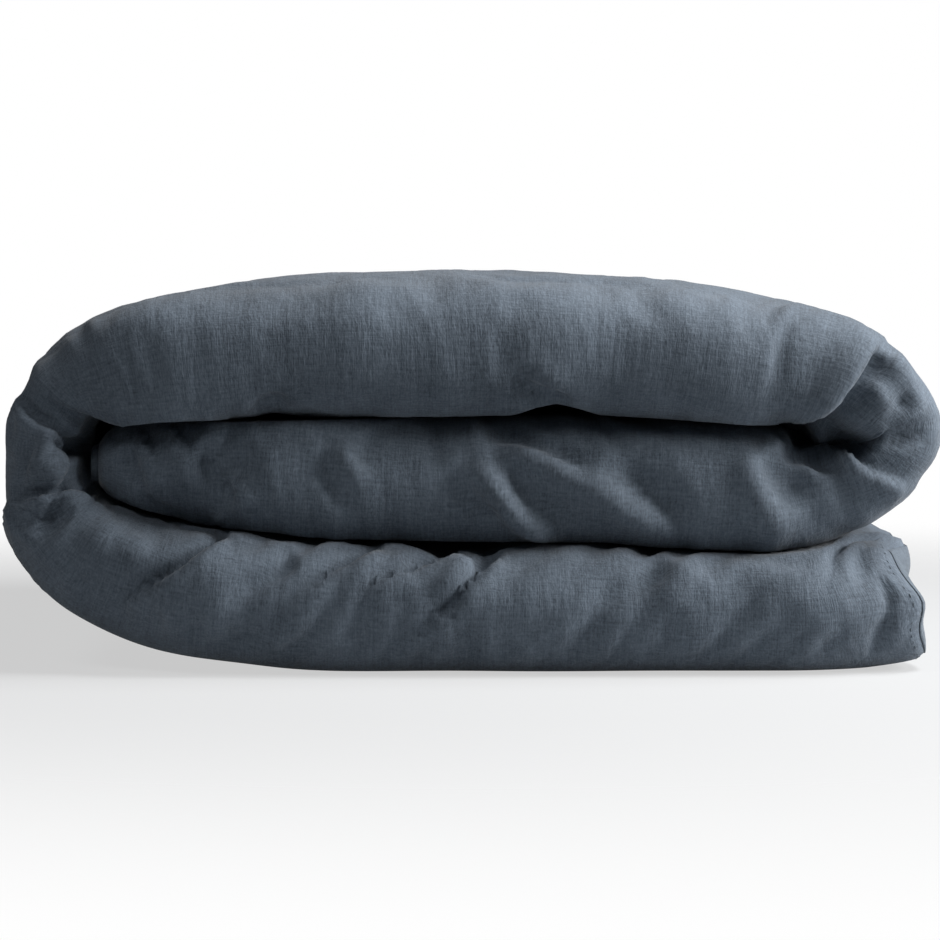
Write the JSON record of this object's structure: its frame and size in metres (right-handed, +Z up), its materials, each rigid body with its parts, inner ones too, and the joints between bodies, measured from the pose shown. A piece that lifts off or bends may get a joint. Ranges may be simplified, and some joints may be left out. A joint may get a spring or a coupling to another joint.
{
  "type": "duvet",
  "caption": "Filled duvet in a zipped linen-look cover, folded in half and then in three into a soft stack with rounded bends.",
  "frame": {"origin": "centre of the bounding box in X and Y, at the level of the surface that the folded stack rests on", "axes": "+X along the stack from the left bend to the right bend and the open foot edge, +Y from the half-fold to the open back edge, +Z up"},
  "size_m": [0.7274, 0.7166, 0.3105],
  "materials": {
    "cover_linen": "washed slate-blue linen-look weave",
    "seam_linen": "folded and stitched seam cloth",
    "zip_tape": "woven polyester tape",
    "zip_coil": "nylon coil",
    "zip_metal": "dull nickel",
    "insert_cotton": "down-proof cotton",
    "down_fill": "down and feather",
    "label_satin": "blank satin"
  },
  "bodies": {
    "duvet": {"cover_face_panel": "cover_linen", "cover_back_panel": "cover_linen", "side_seam_lower": "seam_linen", "side_seam_upper": "seam_linen", "head_seam": "seam_linen", "foot_hem_long": "seam_linen", "foot_hem_short": "seam_linen", "zip_tape_face": "zip_tape", "zip_tape_back": "zip_tape", "zip_coil_face": "zip_coil", "zip_coil_back": "zip_coil", "zip_stop_far": "zip_metal", "zip_stop_near": "zip_metal", "insert_shell_face": "insert_cotton", "insert_shell_back": "insert_cotton", "insert_border": "insert_cotton", "baffle_grid": "insert_cotton", "care_label": "label_satin", "fill_r1c1": "down_fill", "fill_r1c2": "down_fill", "fill_r1c3": "down_fill", "fill_r1c4": "down_fill", "fill_r2c1": "down_fill", "fill_r2c2": "down_fill", "fill_r2c3": "down_fill", "fill_r2c4": "down_fill", "fill_r3c1": "down_fill", "fill_r3c2": "down_fill", "fill_r3c3": "down_fill", "fill_r3c4": "down_fill", "fill_r4c1": "down_fill", "fill_r4c2": "down_fill", "fill_r4c3": "down_fill", "fill_r4c4": "down_fill", "fill_r5c1": "down_fill", "fill_r5c2": "down_fill", "fill_r5c3": "down_fill", "fill_r5c4": "down_fill", "fill_r6c1": "down_fill", "fill_r6c2": "down_fill", "fill_r6c3": "down_fill", "fill_r6c4": "down_fill"},
    "slider": {"zip_slider": "zip_metal"},
    "pull": {"zip_pull": "zip_metal"}
  },
  "joints": [
    {"name": "zip_slide", "type": "slide", "parent": "duvet", "child": "slider", "axis": [0, -1, 0], "range_m": [0, 0.4598]},
    {"name": "pull_pivot", "type": "hinge", "parent": "slider", "child": "pull", "pos_m": [0.35041, 0.22194, 0.07725], "axis": [0, 0, -1], "range_deg": [0, 175]}
  ]
}
